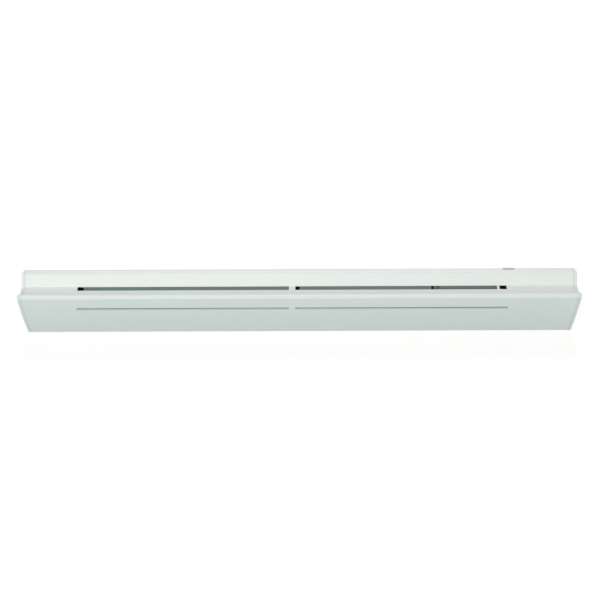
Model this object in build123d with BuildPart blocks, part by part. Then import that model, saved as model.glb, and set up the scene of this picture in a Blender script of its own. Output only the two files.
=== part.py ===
"""Humidity-controlled air inlet for a window frame.

Millimetres. X runs along the inlet with x = 0 at mid-length, -Y points into the
room and +Z is up. The mounting plane is y = 0 and z = 0 is at mid-height. A point
of the cross-section is given as its Y and its Z. The flaps are drawn closed.
"""

import os
from math import cos, radians, sin, tan

from build123d import *

# Outer form
length = 400.0
height = 45.5
wall = 1.5
top_depth = 7.1
brow_drop = 8.8
brow_reach = 3.75
slot_reach = 3.35
slot_drop = 1.3
shelf_depth = 8.4
shelf_drop = 0.05
nose_reach = 2.6
nose_drop = 1.7
nose_rise = 1.05
nose_crest = 1.4
nose_front_reach = 2.4
nose_front_drop = 0.35
foot_depth = 9.4
belly_sagitta = 0.9
edge_radius = 0.4

# End caps
cap_thickness = 2.4
cap_proud = 0.1
cap_edge = 0.2
plug_length = 4.0
plug_wall = 1.2

# Slots in the cover
left_margin = 40.4
right_margin = 50.8
slot_bridge = 4.7
lower_slot_width = 2.2
lower_slot_drop = 9.4
post_inset = 6.1
post_width = 1.8
post_recess = 0.3
rib_thickness = 1.5
rib_depth = 2.5
rib_inset = 15.0
rib_back = 9.0

# Base plate
rim_thickness = 0.8
rim_recess = 0.2
base_wall = 2.0
window_height = 12.0
collar_wall = 1.6
collar_height = 2.2
lug_width = 3.0
lug_wall = 0.7
fixing_inset = 14.0
fixing_level = 15.0
fixing_hole_radius = 2.1
fixing_boss_radius = 4.5
fixing_boss_height = 1.0
gasket_width = 4.0
gasket_depth = 1.0
gasket_margin = 1.6

# Snap hooks between base plate and cover
hook_inset = 30.0
hook_count = 5
hook_width = 8.0
hook_thickness = 1.4
hook_length = 3.9
barb_rise = 0.45
barb_length = 1.6
barb_pocket = 0.5

# Clearances
loose = 0.3
slide_fit = 0.15
pin_fit = 0.1
press_fit = 0.05

# Flaps and the rod that carries them
flap_travel = 30.0
flap_thickness = 1.3
flap_camber = 0.4
flap_end_gap = 3.0
flap_overlap = 1.4
bead_radius = 0.9
flap_rib = 1.0
flap_rib_depth = 1.4
flap_rib_pitch = 29.0
axle_radius = 1.0
axle_above_window = 7.1
axle_rise = 0.15
hub_wall = 0.95
bush_wall = 1.1
bush_flange = 0.6
clip_radius = 2.1
clip_thickness = 0.6
axle_overhang = 0.5
axle_chamfer = 0.25

# Crank and lever
sensor_section = 102.7
flap_to_crank = 1.4
crank_width = 3.0
lever_drop = 9.0
fork_offset = 2.6
fork_start = 6.2
fork_end = 10.9
fork_wall = 1.1
ball_radius = 1.2
tooth_reach = 3.0
tooth_width = 1.2
tooth_angle = 25.0
lever_thickness = 1.6
lever_neck = 1.0
lever_hub_radius = 1.5
lever_pin_radius = 0.8
short_arm = 3.1
arm_pad_radius = 1.4
peg_radius = 0.8
peg_length = 2.0

# Sensor cassette, its pad and its shroud
cassette_lead = 5.7
end_room = 12.0
cassette_foot_room = 8.95
cassette_wall = 1.2
lever_room = 0.4
pad_thickness = 1.5
pin_shelf_gap = 3.0
pin_shelf_length = 7.2
floor_lead = 14.0
ear_radius = 3.0
ear_drop = 3.3
ear_inset = (21.0, 75.0)
screw_radius = 1.1
screw_head_radius = 2.0
screw_head_height = 1.4
screw_cover = 0.5
shroud_wall = 1.2
shroud_top_reach = 0.6
shroud_room = 0.5
flange_depth = 4.0
flange_thickness = 1.0
hood_lead = 3.5
hood_length = 41.5
hood_front_drop = 2.6
hood_front_back = 0.1
hood_lug_gap = 0.8
screen_thickness = 0.8
screen_drop = 0.8
vent_width = 2.0
vent_pitch = 4.0
vent_height = 15.5
vent_margin = 2.0

# Ribbons, yoke, anchor and spring
strip_width = 3.2
strip_thickness = 0.2
strip_row_pitch = 4.0
strip_margin = 1.0
strip_column_gap = 2.8
strip_grip = 2.0
yoke_lead = 9.4
yoke_thickness = 3.0
yoke_gap = 0.5
yoke_depth = 4.8
tongue_gap = 0.6
tongue_thickness = 1.6
tongue_width = 1.3
prong_wall = 1.4
prong_length = 2.4
anchor_inset = 7.5
calibration_radius = 1.0
calibration_head_radius = 1.9
calibration_head_height = 1.6
calibration_slot = 0.5
spring_radius = 1.5
spring_wire_radius = 0.25
spring_turns = 6
spring_steps = 8
spring_stub = 1.0
spring_drop = 3.5

# Closing slider
slider_travel = 2.6
knob_inset = 52.0
knob_length = 8.0
knob_back = 0.2
knob_lap = 0.1
knob_thickness = 0.35
knob_lift = 0.1
stem_offset = 3.0
stem_length = 2.0
stem_depth = 0.7
slider_foot_thickness = 1.0
slider_foot_margin = 2.0
slider_arm_height = 1.2
slider_arm_drop = 3.15
slider_arm_back = 3.4
slider_arm_depth = 2.0
slider_tip_gap = 3.7

# Cross-section, from the top wall round the nose to the foot
top_z = height / 2
inner_top = top_z - wall
brow_foot = Vector(-top_depth - brow_reach, top_z - brow_drop)
shelf_back = brow_foot + Vector(-slot_reach, -slot_drop)
shelf_front = shelf_back + Vector(-shelf_depth, -shelf_drop)
nose_tip = shelf_front + Vector(-nose_crest, nose_rise)
nose_front = shelf_front + Vector(-nose_front_reach, -nose_front_drop)
nose_foot = shelf_front + Vector(-nose_reach, -nose_drop)
foot = Vector(-foot_depth, -top_z)

# Stretches along the inlet
body_end = length / 2 - cap_thickness
left_slot_start = -length / 2 + left_margin
right_slot_end = length / 2 - right_margin
slot_length = (right_slot_end - left_slot_start - slot_bridge) / 2
right_slot_start = right_slot_end - slot_length
bridge_x = right_slot_start - slot_bridge / 2
post_x = right_slot_end - post_inset
sensor_start = length / 2 - sensor_section
cassette_start = sensor_start + cassette_lead
cassette_end = length / 2 - end_room
hood_start = sensor_start + hood_lead
hood_end = hood_start + hood_length

# Flaps, windows and bearings
collar_face = -base_wall - collar_height
flap_back = collar_face - loose
axle_y = flap_back - flap_thickness / 2
axle_z = brow_foot.Y + axle_rise
window_top = axle_z - axle_above_window
window_bottom = window_top - window_height
flap_bottom = window_bottom - flap_overlap
hub_radius = axle_radius + press_fit + hub_wall
bush_radius = axle_radius + pin_fit + bush_wall
lug_radius = bush_radius + lug_wall
mid_lug = bridge_x - lug_width / 2
left_flap = (left_slot_start + flap_end_gap, mid_lug - loose)
right_flap = (right_slot_start + flap_end_gap, sensor_start - flap_to_crank)
left_lug = left_flap[0] - bush_flange - loose - lug_width
right_lug = sensor_start + crank_width + 2 * loose + bush_flange
lug_starts = (left_lug, mid_lug, right_lug)

# Linkage: the fork on the crank drives the ball on the lever
half_turn = radians(flap_travel / 2)
lever_z = axle_z - lever_drop
lever_bottom = lever_z - lever_thickness / 2
long_arm = lever_drop * tan(half_turn) / sin(half_turn)
ball_x = sensor_start + crank_width / 2
pin_x = ball_x + long_arm * (1 + cos(half_turn)) / 2
pin_y = axle_y - fork_offset * (1 + 1 / cos(half_turn)) / 2
peg_x = pin_x + short_arm * sin(half_turn)
yoke_travel = 2 * short_arm * sin(half_turn)

# Cassette and what it holds
cassette_top = lever_z + lever_thickness / 2 + lever_room + cassette_wall
cassette_bottom = -top_z + cassette_foot_room
cassette_ceiling = cassette_top - cassette_wall
cassette_floor = cassette_bottom + cassette_wall
back_face = -base_wall - pad_thickness
tray_face = back_face - cassette_wall
pin_shelf_top = lever_bottom - pin_shelf_gap
floor_start = cassette_start + floor_lead
ear_z = cassette_bottom - ear_drop
ear_x = tuple(cassette_start + inset for inset in ear_inset)
belly_slope = (nose_foot.X - foot.X) / (nose_foot.Y - foot.Y)
belly_inset = wall * (1 + belly_slope**2) ** 0.5
shroud_top_y = shelf_back.X - shroud_top_reach
shroud_bottom_y = (
    foot.X + belly_slope * (cassette_bottom - foot.Y) + belly_inset + shroud_room
)
hood_front = Vector(shelf_back.X + hood_front_back, shelf_back.Y - hood_front_drop)
hood_rear = Vector(-base_wall - 2 * loose, axle_z - lug_radius - hood_lug_gap)
screen_back = axle_y - lug_radius - loose
screen_top = brow_foot.Y - screen_drop
yoke_start = cassette_start + yoke_lead
yoke_end = yoke_start + yoke_thickness
yoke_back = tray_face - yoke_gap
yoke_front = yoke_back - yoke_depth
strip_y = (yoke_back + yoke_front) / 2
strip_z = (cassette_ceiling + cassette_floor) / 2
strip_room = cassette_ceiling - cassette_floor - strip_width - 2 * strip_margin
strip_rows = int(strip_room / strip_row_pitch) + 1
vent_room = cassette_end - floor_start - vent_width - 2 * vent_margin
vent_count = int(vent_room / vent_pitch) + 1
spring_z = pin_shelf_top - cassette_wall - spring_drop
room_side = nose_front.X
bar_bottom = cassette_floor + slide_fit
bar_top = cassette_ceiling - slide_fit
anchor_start = cassette_end - anchor_inset
tongue_top = lever_bottom - tongue_gap
tongue_bottom = tongue_top - tongue_thickness
tongue_back = -base_wall - loose
tongue_front = tongue_back - tongue_width

# Closing slider
knob_start = length / 2 - knob_inset
stem_start = knob_start + stem_offset
stem_end = stem_start + stem_length
stem_back = rim_thickness + slide_fit
stem_front = stem_back + stem_depth
notch = (stem_start - slider_travel - slide_fit, stem_end + slide_fit)
slider_tip = sensor_start + slider_tip_gap
slider_foot_top = inner_top - loose
slider_foot_bottom = slider_foot_top - slider_foot_thickness
slider_arm_bottom = inner_top - slider_arm_drop

hook_pitch = (length - 2 * hook_inset) / (hook_count - 1)
hook_places = [-length / 2 + hook_inset + n * hook_pitch for n in range(hook_count)]


def outline(back=0.0, lip=False):
    """The closed cross-section, from its back plane to the nose."""
    with BuildSketch(mode=Mode.PRIVATE) as section:
        with BuildLine():
            Polyline((back, -top_z), (back, top_z), (-top_depth, top_z), brow_foot)
            ThreePointArc(brow_foot, shelf_back, shelf_front)
            if lip:
                ThreePointArc(shelf_front, nose_tip, nose_front)
                Line(nose_front, nose_foot)
            else:
                Line(shelf_front, nose_foot)
            SagittaArc(nose_foot, foot, -belly_sagitta)
            Line(foot, (back, -top_z))
        make_face()
    return section.sketch


def skin(back):
    """The cross-section with its lip, and with the long edges in front rounded."""
    with BuildSketch(mode=Mode.PRIVATE) as section:
        add(outline(back, lip=True))
        corners = [Vector(-top_depth, top_z), nose_front, nose_foot, foot]
        rounded = [v for v in section.vertices() if Vector(v.X, v.Y) in corners]
        fillet(rounded, edge_radius)
    return section.sketch


def inner_outline(inset, back):
    """The cross-section drawn in from the cover's outside, open as far as back."""
    inside = offset(outline(back + inset), -inset, kind=Kind.INTERSECTION, mode=Mode.PRIVATE)
    return inside


def rod(radius, start, end, y, z, mode=Mode.ADD):
    """A round bar or bore along X."""
    with BuildSketch(Plane.YZ.offset(start)) as disc:
        with Locations((y, z)):
            Circle(radius)
    extrude(disc.sketch, amount=end - start, mode=mode)


def block(x, y, z, mode=Mode.ADD):
    """A square-edged block; each argument is a pair of ends."""
    with Locations((min(x), min(y), min(z))):
        Box(
            abs(x[1] - x[0]),
            abs(y[1] - y[0]),
            abs(z[1] - z[0]),
            align=(Align.MIN, Align.MIN, Align.MIN),
            mode=mode,
        )


# Front cover: a moulded channel with two slots above the shelf and two in the belly
brow_normal = Vector(-brow_drop, brow_reach).normalized()
shelf_normal = Vector(-shelf_drop, shelf_depth).normalized()
belly_normal = Vector(-1, belly_slope).normalized()
lower_slot_z = nose_foot.Y - lower_slot_drop
lower_slot_y = foot.X + belly_slope * (lower_slot_z - foot.Y)
cut_through = 2 * wall
barb_front = -base_wall - hook_length
barb_back = barb_front + barb_length
cover_end = body_end - pin_fit

with BuildPart() as front_cover:
    with BuildSketch(Plane.YZ.offset(-cover_end)):
        add(skin(back=-rim_thickness))
    extrude(amount=2 * cover_end)
    with BuildSketch(Plane.YZ.offset(-cover_end)):
        add(inner_outline(wall, back=wall))
    extrude(amount=2 * cover_end, mode=Mode.SUBTRACT)
    for rib_x in (-length / 2 + rib_inset, left_slot_start - rib_inset, bridge_x):
        with BuildSketch(Plane.YZ.offset(rib_x - rib_thickness / 2)) as rib_section:
            add(inner_outline(wall, back=0))
            add(inner_outline(wall + rib_depth, back=wall), mode=Mode.SUBTRACT)
            Rectangle(
                rib_back,
                height,
                align=(Align.MAX, Align.CENTER),
                mode=Mode.SUBTRACT,
            )
        extrude(amount=rib_thickness)
    for slot_start in (left_slot_start, right_slot_start):
        with BuildSketch(Plane.YZ.offset(slot_start)):
            with BuildLine():
                Polyline(
                    brow_foot + brow_normal * cut_through,
                    shelf_back + shelf_normal * cut_through,
                    shelf_back - shelf_normal * cut_through,
                    brow_foot - brow_normal * cut_through,
                    close=True,
                )
            make_face()
        extrude(amount=slot_length, mode=Mode.SUBTRACT)
        with BuildSketch(Plane.YZ.offset(slot_start)):
            with BuildLine():
                slot_line = Line(
                    Vector(lower_slot_y, lower_slot_z) + belly_normal * cut_through,
                    Vector(lower_slot_y, lower_slot_z) - belly_normal * cut_through,
                )
                offset(slot_line, lower_slot_width / 2, side=Side.BOTH)
            make_face()
        extrude(amount=slot_length, mode=Mode.SUBTRACT)
    for place in hook_places:
        for side in (1, -1):
            block(
                (place - hook_width / 2 - loose, place + hook_width / 2 + loose),
                (barb_back + loose, barb_front - loose),
                (side * (inner_top - wall), side * (inner_top + barb_pocket)),
                mode=Mode.SUBTRACT,
            )
    block(
        notch,
        (0, -stem_front - slide_fit),
        (inner_top - wall, top_z + wall),
        mode=Mode.SUBTRACT,
    )
    with BuildSketch(Plane.YZ.offset(post_x - post_width / 2)):
        with BuildLine():
            Polyline(
                brow_foot - brow_normal * post_recess,
                shelf_back - shelf_normal * post_recess,
                shelf_back - shelf_normal * wall,
                brow_foot - brow_normal * wall,
                close=True,
            )
        make_face()
    extrude(amount=post_width)
front_cover.part.label = "front_cover"

# End caps: a proud plate with a hollow plug that fits inside the cover
caps = {}
for side, cap_name in ((-1, "end_cap_left"), (1, "end_cap_right")):
    outward = Plane.YZ.offset(side * body_end)
    with BuildPart() as cap:
        with BuildSketch(outward):
            offset(skin(back=0), cap_proud, kind=Kind.INTERSECTION)
            Rectangle(
                2 * cap_proud,
                2 * height,
                align=(Align.MIN, Align.CENTER),
                mode=Mode.SUBTRACT,
            )
        extrude(amount=side * cap_thickness)
        chamfer(cap.faces().sort_by(Axis.X)[0 if side < 0 else -1].edges(), cap_edge)
        with BuildSketch(outward):
            add(inner_outline(wall + slide_fit, back=0))
            add(inner_outline(wall + slide_fit + plug_wall, back=0), mode=Mode.SUBTRACT)
            Rectangle(
                base_wall + loose,
                2 * height,
                align=(Align.MAX, Align.CENTER),
                mode=Mode.SUBTRACT,
            )
        extrude(amount=-side * plug_length)
    cap.part.label = cap_name
    caps[cap_name] = cap.part

# Base plate: stepped rim, two windows with seats for the flaps, bearing lugs, bosses
base_half_height = inner_top - slide_fit
gasket_bottom = window_bottom - gasket_margin - gasket_width
gasket_top = window_top + gasket_margin + gasket_width
gasket_left = left_flap[0] - gasket_margin - gasket_width
gasket_right = right_flap[1] + gasket_margin + gasket_width
with BuildPart() as base_plate:
    with BuildSketch(Plane.XZ):
        Rectangle(2 * cover_end, 2 * (top_z - rim_recess))
    extrude(amount=rim_thickness)
    with BuildSketch(Plane.XZ):
        Rectangle(2 * cover_end, 2 * base_half_height)
    extrude(amount=base_wall)
    for flap_start, flap_stop in (left_flap, right_flap):
        middle = (flap_start + flap_stop) / 2
        window_length = flap_stop - flap_start - 2 * collar_wall
        window_z = (window_bottom + window_top) / 2
        with BuildSketch(Plane.XZ):
            with Locations((middle, window_z)):
                Rectangle(window_length + 2 * collar_wall, window_height + 2 * collar_wall)
        extrude(amount=-collar_face)
        with BuildSketch(Plane.XZ):
            with Locations((middle, window_z)):
                Rectangle(window_length, window_height)
        extrude(amount=-collar_face, mode=Mode.SUBTRACT)
    for lug_start in lug_starts:
        block(
            (lug_start, lug_start + lug_width),
            (-base_wall, axle_y),
            (axle_z - lug_radius, axle_z + lug_radius),
        )
        rod(lug_radius, lug_start, lug_start + lug_width, axle_y, axle_z)
        rod(bush_radius, lug_start, lug_start + lug_width, axle_y, axle_z, Mode.SUBTRACT)
    for fixing_x in (-length / 2 + fixing_inset, length / 2 - fixing_inset):
        with BuildSketch(Plane.XZ):
            with Locations((fixing_x, fixing_level)):
                Circle(fixing_boss_radius)
        extrude(amount=base_wall + fixing_boss_height)
        with BuildSketch(Plane.XZ):
            with Locations((fixing_x, fixing_level)):
                Circle(fixing_hole_radius)
        extrude(amount=base_wall + fixing_boss_height, mode=Mode.SUBTRACT)
    for x in ear_x:
        block(
            (x - ear_radius, x + ear_radius),
            (-base_wall, back_face),
            (ear_z - ear_radius, ear_z + ear_radius),
        )
        with BuildSketch(Plane.XZ.offset(screw_cover)):
            with Locations((x, ear_z)):
                Circle(screw_radius + press_fit)
        extrude(amount=base_wall + pad_thickness, mode=Mode.SUBTRACT)
    for place in hook_places:
        for side in (1, -1):
            with BuildSketch(Plane.YZ.offset(place - hook_width / 2)):
                with BuildLine():
                    Polyline(
                        (-base_wall, side * (base_half_height - hook_thickness)),
                        (-base_wall, side * base_half_height),
                        (barb_back, side * base_half_height),
                        (barb_back, side * (base_half_height + barb_rise)),
                        (barb_front, side * base_half_height),
                        (barb_front, side * (base_half_height - hook_thickness)),
                        close=True,
                    )
                make_face()
            extrude(amount=hook_width)
    block(
        (gasket_left, gasket_right),
        (0, -gasket_depth),
        (gasket_bottom, gasket_top),
        mode=Mode.SUBTRACT,
    )
    block(
        (gasket_left + gasket_width, gasket_right - gasket_width),
        (0, -gasket_depth),
        (gasket_bottom + gasket_width, gasket_top - gasket_width),
    )
    for flap_start, flap_stop in (left_flap, right_flap):
        block(
            (flap_start + collar_wall, flap_stop - collar_wall),
            (0, -gasket_depth),
            (window_bottom, window_top),
            mode=Mode.SUBTRACT,
        )
    block(
        notch,
        (-rim_thickness, -base_wall),
        (slider_foot_bottom - loose, top_z),
        mode=Mode.SUBTRACT,
    )
base_plate.part.label = "base_plate"

# Foam ring in the back of the base plate, round both windows
with BuildPart() as rear_gasket:
    block(
        (gasket_left + slide_fit, gasket_right - slide_fit),
        (0, -gasket_depth),
        (gasket_bottom + slide_fit, gasket_top - slide_fit),
    )
    block(
        (gasket_left + gasket_width - slide_fit, gasket_right - gasket_width + slide_fit),
        (0, -gasket_depth),
        (gasket_bottom + gasket_width - slide_fit, gasket_top - gasket_width + slide_fit),
        mode=Mode.SUBTRACT,
    )
rear_gasket.part.label = "rear_gasket"


def flap(start, end, hub_start):
    """A cambered flap with a sealing bead, rear ribs and a tube for the rod."""
    with BuildPart() as moulding:
        with BuildSketch(Plane.YZ.offset(start)):
            with BuildLine():
                Line((flap_back, flap_bottom), (flap_back, axle_z))
                Line((flap_back, axle_z), (flap_back - flap_thickness, axle_z))
                SagittaArc(
                    (flap_back - flap_thickness, axle_z),
                    (flap_back - flap_thickness, flap_bottom),
                    -flap_camber,
                )
                Line((flap_back - flap_thickness, flap_bottom), (flap_back, flap_bottom))
            make_face()
            with Locations((flap_back - bead_radius, flap_bottom + bead_radius)):
                Circle(bead_radius)
        extrude(amount=end - start)
        rib_count = int((end - start - 2 * flap_rib_pitch / 3) / flap_rib_pitch) + 1
        with BuildSketch(Plane.XZ.offset(-flap_back - flap_rib_depth)):
            with Locations(((start + end) / 2, (window_bottom + window_top) / 2)):
                with GridLocations(flap_rib_pitch, 1, rib_count, 1):
                    Rectangle(flap_rib, window_height - 2 * flap_rib)
        extrude(amount=flap_rib_depth)
        rod(hub_radius, hub_start, end, axle_y, axle_z)
        rod(axle_radius + press_fit, hub_start, end, axle_y, axle_z, Mode.SUBTRACT)
    return moulding.part


with BuildPart() as shutter_left:
    add(flap(left_flap[0], left_flap[1], left_flap[0]))
shutter_left.part.label = "shutter_left"

with BuildPart() as shutter_right:
    add(flap(right_flap[0], right_flap[1], mid_lug + lug_width + bush_flange + loose))
shutter_right.part.label = "shutter_right"

# Rod, its bearings and the clips that stop it from sliding out
axle_start = lug_starts[0] - loose - clip_thickness - axle_overhang
axle_end = lug_starts[2] + lug_width + loose + clip_thickness + axle_overhang
with BuildPart() as shutter_axle:
    rod(axle_radius, axle_start, axle_end, axle_y, axle_z)
    chamfer(shutter_axle.edges(), axle_chamfer)
shutter_axle.part.label = "shutter_axle"

with BuildPart() as axle_bushes:
    for lug_start, flange_start in (
        (lug_starts[0], lug_starts[0] + lug_width),
        (lug_starts[1], lug_starts[1] + lug_width),
        (lug_starts[2], lug_starts[2] - bush_flange),
    ):
        rod(bush_radius - press_fit, lug_start, lug_start + lug_width, axle_y, axle_z)
        rod(lug_radius, flange_start, flange_start + bush_flange, axle_y, axle_z)
    rod(axle_radius + pin_fit, axle_start, axle_end, axle_y, axle_z, Mode.SUBTRACT)
axle_bushes.part.label = "axle_bushes"

with BuildPart() as axle_clips:
    for clip_start in (lug_starts[0] - loose - clip_thickness, lug_starts[2] + lug_width + loose):
        rod(clip_radius, clip_start, clip_start + clip_thickness, axle_y, axle_z)
        block(
            (clip_start, clip_start + clip_thickness),
            (axle_y - axle_radius / 2, axle_y + axle_radius / 2),
            (axle_z, axle_z + 2 * clip_radius),
            mode=Mode.SUBTRACT,
        )
    rod(axle_radius + press_fit, axle_start, axle_end, axle_y, axle_z, Mode.SUBTRACT)
axle_clips.part.label = "axle_clips"

# Crank: a fork that straddles the ball of the lever. Its plane has the fork's side
# across and the arm's direction downward, so the fork leans back when it is closed.
fork_half = ball_radius + slide_fit
fork_width = 2 * (fork_half + fork_wall)
crank_plane = Plane(
    origin=(sensor_start, axle_y, axle_z),
    x_dir=(0, -cos(half_turn), -sin(half_turn)),
    z_dir=(1, 0, 0),
)
with BuildPart() as shutter_crank:
    with BuildSketch(crank_plane):
        Circle(hub_radius)
        with Locations((fork_offset, fork_start)):
            Rectangle(fork_width, fork_wall, align=(Align.CENTER, Align.MAX))
        make_hull()
        with Locations((fork_offset, fork_start)):
            Rectangle(fork_width, fork_end - fork_start, align=(Align.CENTER, Align.MIN))
        with Locations(Location((0, 0), -(tooth_angle + flap_travel / 2))):
            Rectangle(tooth_reach, tooth_width, align=(Align.MIN, Align.CENTER))
        with Locations((fork_offset, fork_start + fork_half)):
            Circle(fork_half, mode=Mode.SUBTRACT)
            Rectangle(
                2 * fork_half,
                fork_end,
                align=(Align.CENTER, Align.MIN),
                mode=Mode.SUBTRACT,
            )
        Circle(axle_radius + press_fit, mode=Mode.SUBTRACT)
    extrude(amount=crank_width)
shutter_crank.part.label = "shutter_crank"

# Lever: a bell crank on an upright pin, with a ball in the fork and a peg in the yoke
hub_bottom = pin_shelf_top + loose
hub_top = cassette_ceiling - loose
lever_plane = Plane(
    origin=(pin_x, pin_y, lever_bottom),
    x_dir=(-cos(half_turn), sin(half_turn), 0),
    z_dir=(0, 0, 1),
)
with BuildPart() as drive_lever:
    with BuildSketch(lever_plane):
        with BuildLine():
            Polyline(
                (0, lever_hub_radius),
                (long_arm - 2 * ball_radius, lever_neck / 2),
                (long_arm, lever_neck / 2),
                (long_arm, -lever_neck / 2),
                (long_arm - 2 * ball_radius, -lever_neck / 2),
                (0, -lever_hub_radius),
                close=True,
            )
        make_face()
        with Locations((0, -short_arm / 2)):
            Rectangle(2 * arm_pad_radius, short_arm)
        with Locations((0, -short_arm)):
            Circle(arm_pad_radius)
    extrude(amount=lever_thickness)
    with Locations(lever_plane * Location((long_arm, 0, lever_thickness / 2))):
        Sphere(ball_radius)
    with BuildSketch(lever_plane):
        with Locations((0, -short_arm)):
            Circle(peg_radius)
    extrude(amount=-peg_length)
    with BuildSketch(Plane.XY.offset(hub_bottom)):
        with Locations((pin_x, pin_y)):
            Circle(lever_hub_radius)
    extrude(amount=hub_top - hub_bottom)
    with BuildSketch(Plane.XY.offset(hub_bottom)):
        with Locations((pin_x, pin_y)):
            Circle(lever_pin_radius + pin_fit)
    extrude(amount=hub_top - hub_bottom, mode=Mode.SUBTRACT)
drive_lever.part.label = "drive_lever"

pin_bottom = pin_shelf_top - cassette_wall
with BuildPart() as lever_pin:
    with BuildSketch(Plane.XY.offset(pin_bottom)):
        with Locations((pin_x, pin_y)):
            Circle(lever_pin_radius)
    extrude(amount=cassette_top - pin_bottom)
lever_pin.part.label = "lever_pin"

# Cassette: an open tray with shelves for the pin, an end wall for the screw and ears
panel_slope = (shroud_bottom_y - shroud_top_y) / (cassette_bottom - cassette_top)


def panel_y(z):
    """Depth of the shroud's front panel, on its outside, at the height z."""
    return shroud_top_y + panel_slope * (z - cassette_top)


with BuildPart() as sensor_cassette:
    with BuildSketch(Plane.YZ.offset(cassette_start)):
        with BuildLine():
            Polyline(
                (back_face, cassette_bottom),
                (back_face, cassette_top),
                (panel_y(cassette_top) + shroud_wall + pin_fit, cassette_top),
                (panel_y(cassette_bottom) + shroud_wall + pin_fit, cassette_bottom),
                close=True,
            )
        make_face()
    extrude(amount=cassette_end - cassette_start)
    block(
        (cassette_start + cassette_wall, cassette_end - cassette_wall),
        (tray_face, room_side),
        (cassette_floor, cassette_ceiling),
        mode=Mode.SUBTRACT,
    )
    block(
        (cassette_start, cassette_start + cassette_wall),
        (tray_face, room_side),
        (pin_shelf_top, cassette_ceiling),
        mode=Mode.SUBTRACT,
    )
    block(
        (cassette_start, floor_start),
        (back_face, tray_face),
        (pin_shelf_top, cassette_ceiling),
        mode=Mode.SUBTRACT,
    )
    block(
        (cassette_start, cassette_start + pin_shelf_length),
        (tray_face, pin_y - 2 * lever_hub_radius),
        (pin_bottom, pin_shelf_top),
    )
    for x in ear_x:
        with BuildSketch(Plane.XZ.offset(-back_face)):
            with Locations((x, ear_z)):
                Circle(ear_radius)
                Rectangle(2 * ear_radius, ear_drop + cassette_wall, align=(Align.CENTER, Align.MIN))
        extrude(amount=cassette_wall)
        with BuildSketch(Plane.XZ.offset(-back_face)):
            with Locations((x, ear_z)):
                Circle(screw_radius + pin_fit)
        extrude(amount=cassette_wall, mode=Mode.SUBTRACT)
    with BuildSketch(Plane.XY.offset(pin_bottom)):
        with Locations((pin_x, pin_y)):
            Circle(lever_pin_radius + press_fit)
    extrude(amount=cassette_top - pin_bottom, mode=Mode.SUBTRACT)
    rod(
        calibration_radius + pin_fit,
        cassette_end - cassette_wall,
        cassette_end,
        strip_y,
        strip_z,
        Mode.SUBTRACT,
    )
    rod(
        spring_wire_radius + press_fit,
        cassette_start,
        cassette_start + cassette_wall,
        strip_y,
        spring_z + spring_radius,
        Mode.SUBTRACT,
    )
sensor_cassette.part.label = "sensor_cassette"

with BuildPart() as cassette_screws:
    with BuildSketch(Plane.XZ.offset(-tray_face)):
        with Locations(*[(x, ear_z) for x in ear_x]):
            Circle(screw_head_radius)
    extrude(amount=screw_head_height)
    with BuildSketch(Plane.XZ.offset(screw_cover + loose)):
        with Locations(*[(x, ear_z) for x in ear_x]):
            Circle(screw_radius)
    extrude(amount=-tray_face - screw_cover - loose)
cassette_screws.part.label = "cassette_screws"

# Foam between base plate and tray, cut away where the yoke's tongue slides
with BuildPart() as insulation_pad:
    block((cassette_start, cassette_end), (-base_wall, back_face), (cassette_bottom, cassette_top))
    block(
        (cassette_start, floor_start),
        (-base_wall, back_face),
        (pin_shelf_top, cassette_top),
        mode=Mode.SUBTRACT,
    )
insulation_pad.part.label = "insulation_pad"

# Shroud: a vented panel over the tray, with a hood over the lever and a screen that
# fills the view through the slot
panel_top = Vector(shroud_top_y, cassette_top)
panel_bottom = Vector(shroud_bottom_y, cassette_bottom)
vent_cut = 2 * abs(shroud_bottom_y - shroud_top_y)
with BuildPart() as sensor_shroud:
    with BuildSketch(Plane.YZ.offset(cassette_start)):
        with BuildLine():
            Polyline(
                panel_bottom,
                panel_top,
                panel_top + Vector(0, flange_thickness),
                panel_top + Vector(flange_depth, flange_thickness),
                panel_top + Vector(flange_depth, 0),
                panel_top + Vector(shroud_wall, 0),
                panel_bottom + Vector(shroud_wall, 0),
                close=True,
            )
        make_face()
    extrude(amount=cassette_end - cassette_start)
    with BuildSketch(Plane.YZ.offset(hood_start)):
        with BuildLine():
            Polyline(
                panel_top,
                hood_front,
                hood_rear,
                hood_rear + Vector(0, -shroud_wall),
                hood_front + Vector(shroud_wall, -shroud_wall),
                panel_top + Vector(shroud_wall, 0),
                close=True,
            )
        make_face()
    extrude(amount=hood_length)
    block(
        (hood_start, hood_end),
        (screen_back, screen_back - screen_thickness),
        (hood_front.Y, screen_top),
    )
    with BuildSketch(Plane.YZ.offset(hood_end - shroud_wall)):
        with BuildLine():
            Polyline(
                panel_top,
                hood_front,
                hood_rear,
                (hood_rear.X, cassette_top + pin_fit),
                (shroud_top_y + flange_depth, cassette_top + pin_fit),
                close=True,
            )
        make_face()
    extrude(amount=shroud_wall)
    with BuildSketch(Plane.XZ.offset(-shroud_bottom_y - 2 * shroud_wall)):
        with Locations(((floor_start + cassette_end) / 2, strip_z)):
            with GridLocations(vent_pitch, 1, vent_count, 1):
                Rectangle(vent_width, vent_height)
    extrude(amount=vent_cut, both=True, mode=Mode.SUBTRACT)
sensor_shroud.part.label = "sensor_shroud"

# Yoke: a bar with eight slits for the ribbons and a tongue forked round the peg
strip_places = [
    (y, strip_z + (n - (strip_rows - 1) / 2) * strip_row_pitch)
    for y in (strip_y - strip_column_gap / 2, strip_y + strip_column_gap / 2)
    for n in range(strip_rows)
]


def strip_bars(start, end, clearance, mode=Mode.ADD):
    """Flat bars where the ribbons run, wider than they are by the clearance."""
    with BuildSketch(Plane.YZ.offset(start)) as ends:
        with Locations(*strip_places):
            Rectangle(strip_thickness + 2 * clearance, strip_width + 2 * clearance)
    extrude(ends.sketch, amount=end - start, mode=mode)


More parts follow.
